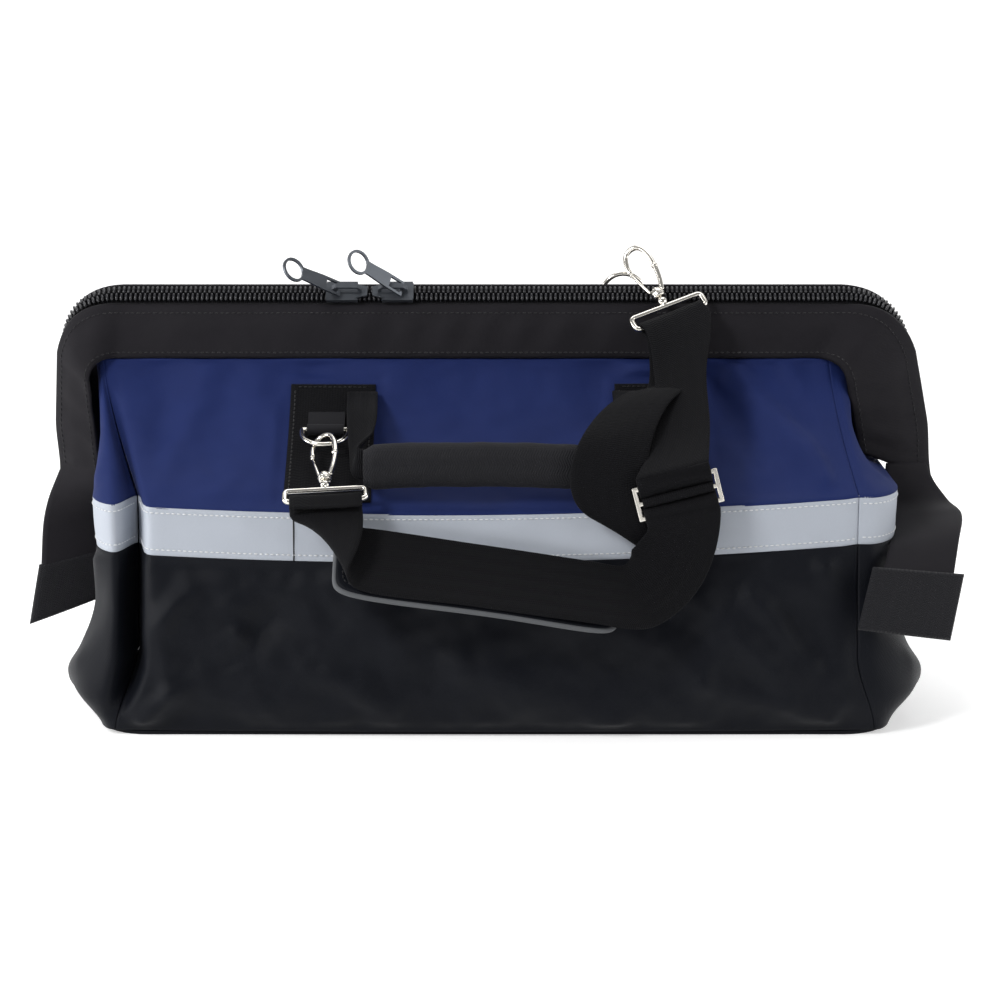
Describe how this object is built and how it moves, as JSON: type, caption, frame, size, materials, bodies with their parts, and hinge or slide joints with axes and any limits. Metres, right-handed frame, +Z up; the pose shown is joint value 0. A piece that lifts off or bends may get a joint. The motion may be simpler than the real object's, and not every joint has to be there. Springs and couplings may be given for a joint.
{
  "type": "zippered tool bag",
  "caption": "Zippered tool bag with a navy top, black base, light grey reflective band, hinged wire mouth frames, carry handles and a shoulder strap on snap hooks.",
  "frame": {"origin": "middle of the base panel's underside, on the floor", "axes": "+X along the bag to the viewer's right in the picture, +Y away from the viewer, +Z up"},
  "size_m": [0.5734, 0.276, 0.2767],
  "materials": {
    "lower_fabric": "matt black coated weave",
    "collar_fabric": "matt black plain weave",
    "upper_fabric": "matt navy weave",
    "reflective": "light grey retroreflective cloth with white stitches",
    "webbing": "black ribbed webbing",
    "nickel": "bright nickel plate",
    "steel": "plain strip",
    "gunmetal": "dark satin",
    "coil": "dark satin nylon coil",
    "board": "matt",
    "foam": "black cloth over foam, grey edge"
  },
  "bodies": {
    "bag": {"base_panel": "lower_fabric", "base_board": "board", "front_lower_panel": "lower_fabric", "rear_lower_panel": "lower_fabric", "left_end_lower": "lower_fabric", "right_end_lower": "lower_fabric", "front_reflective_band": "reflective", "rear_reflective_band": "reflective", "left_end_band": "reflective", "right_end_band": "reflective", "front_upper_panel": "upper_fabric", "rear_upper_panel": "upper_fabric", "left_end_upper": "upper_fabric", "right_end_upper": "upper_fabric", "left_pivot_rivet": "nickel", "right_pivot_rivet": "nickel", "front_left_anchor": "webbing", "front_right_anchor": "webbing", "rear_left_anchor": "webbing", "rear_right_anchor": "webbing", "front_ring_tab": "webbing", "left_tail": "collar_fabric", "right_tail": "collar_fabric", "left_tail_tab": "webbing", "right_tail_tab": "webbing", "shoulder_strap": "webbing"},
    "front_jaw": {"front_collar": "collar_fabric", "front_frame_strip": "steel", "front_zip_tape": "coil", "front_zip_coil": "coil"},
    "rear_jaw": {"rear_collar": "collar_fabric", "rear_frame_strip": "steel", "rear_zip_tape": "coil", "rear_zip_coil": "coil", "rear_ring_tab": "webbing"},
    "left_slider": {"left_zip_slider": "gunmetal"},
    "right_slider": {"right_zip_slider": "gunmetal"},
    "left_pull": {"left_zip_pull": "gunmetal"},
    "right_pull": {"right_zip_pull": "gunmetal"},
    "front_handle": {"front_handle_webbing": "webbing", "front_handle_grip": "webbing"},
    "rear_handle": {"rear_handle_webbing": "webbing", "rear_handle_grip": "webbing"},
    "front_ring": {"front_d_ring": "nickel"},
    "rear_ring": {"rear_d_ring": "nickel"},
    "front_hook": {"front_snap_hook": "nickel"},
    "front_gate": {"front_hook_gate": "nickel"},
    "front_eye": {"front_hook_eye": "nickel"},
    "upper_hook": {"upper_snap_hook": "nickel"},
    "upper_gate": {"upper_hook_gate": "nickel"},
    "upper_eye": {"upper_hook_eye": "nickel"},
    "adjuster": {"strap_adjuster": "nickel"},
    "pad": {"shoulder_pad": "foam"}
  },
  "joints": [
    {"name": "front_jaw_open", "type": "hinge", "parent": "bag", "child": "front_jaw", "pos_m": [0, 0, 0.135], "axis": [1, 0, 0], "range_deg": [0, 32], "deforming": ["front_upper_panel", "left_end_upper", "right_end_upper", "shoulder_strap"]},
    {"name": "rear_jaw_open", "type": "hinge", "parent": "bag", "child": "rear_jaw", "pos_m": [0, 0, 0.135], "axis": [1, 0, 0], "range_deg": [-32, 0], "deforming": ["rear_upper_panel", "left_end_upper", "right_end_upper"]},
    {"name": "left_slider_run", "type": "slide", "parent": "front_jaw", "child": "left_slider", "axis": [1, 0, 0], "range_m": [-0.1, 0]},
    {"name": "right_slider_run", "type": "slide", "parent": "front_jaw", "child": "right_slider", "axis": [1, 0, 0], "range_m": [0, 0.09]},
    {"name": "left_pull_swing", "type": "hinge", "parent": "left_slider", "child": "left_pull", "pos_m": [-0.095, -0.01748, 0.2516], "axis": [0, 0.6428, 0.766], "range_deg": [-15, 40]},
    {"name": "right_pull_swing", "type": "hinge", "parent": "right_slider", "child": "right_pull", "pos_m": [-0.057, -0.01748, 0.2516], "axis": [0.2079, 0.6287, 0.7493], "range_deg": [-5, 100]},
    {"name": "front_handle_swing", "type": "hinge", "parent": "bag", "child": "front_handle", "pos_m": [0, -0.03518, 0.19219], "axis": [1, 0, 0], "range_deg": [-100, 0]},
    {"name": "rear_handle_swing", "type": "hinge", "parent": "bag", "child": "rear_handle", "pos_m": [0, 0.0246, 0.19237], "axis": [1, 0, 0], "range_deg": [0, 110]},
    {"name": "front_ring_swing", "type": "hinge", "parent": "bag", "child": "front_ring", "pos_m": [-0.101, -0.05867, 0.17276], "axis": [1, 0, 0], "range_deg": [-68, 0], "deforming": ["shoulder_strap"]},
    {"name": "rear_ring_swing", "type": "hinge", "parent": "rear_jaw", "child": "rear_ring", "pos_m": [0.079, 0.0086, 0.239], "axis": [1, 0, 0], "range_deg": [-150, 0]},
    {"name": "front_hook_swing", "type": "hinge", "parent": "front_ring", "child": "front_hook", "pos_m": [-0.101, -0.0769, 0.16739], "axis": [1, 0, 0], "range_deg": [-33, 0], "deforming": ["shoulder_strap"]},
    {"name": "front_gate_open", "type": "hinge", "parent": "front_hook", "child": "front_gate", "pos_m": [-0.1022, -0.09886, 0.15283], "axis": [0.4984, 0.4598, -0.735], "range_deg": [0, 22], "stiffness_Nm_per_rad": 0.004, "springref_deg": -20.05},
    {"name": "front_eye_turn", "type": "hinge", "parent": "front_hook", "child": "front_eye", "pos_m": [-0.101, -0.0769, 0.16739], "axis": [0.0799, -0.8685, -0.4892], "range_deg": [-30, 30], "deforming": ["shoulder_strap"]},
    {"name": "upper_hook_swing", "type": "hinge", "parent": "front_jaw", "child": "upper_hook", "pos_m": [0.086, -0.001, 0.2676], "axis": [1, 0, 0], "range_deg": [-60, 0], "deforming": ["shoulder_strap"]},
    {"name": "upper_gate_open", "type": "hinge", "parent": "upper_hook", "child": "upper_gate", "pos_m": [0.09406, -0.01727, 0.24848], "axis": [0.4807, 0.7574, -0.442], "range_deg": [0, 22], "stiffness_Nm_per_rad": 0.004, "springref_deg": -20.05},
    {"name": "upper_eye_turn", "type": "hinge", "parent": "upper_hook", "child": "upper_eye", "pos_m": [0.086, -0.001, 0.2676], "axis": [0.4209, -0.6414, -0.6414], "range_deg": [0, 20], "deforming": ["shoulder_strap"]},
    {"name": "adjuster_run", "type": "slide", "parent": "bag", "child": "adjuster", "axis": [-0.25, 0.1, 0.9631], "range_m": [-0.015, 0.015], "deforming": ["shoulder_strap"]},
    {"name": "pad_run", "type": "slide", "parent": "bag", "child": "pad", "axis": [0.9888, 0, -0.1493], "range_m": [-0.012, 0.012], "deforming": ["shoulder_strap"]}
  ]
}
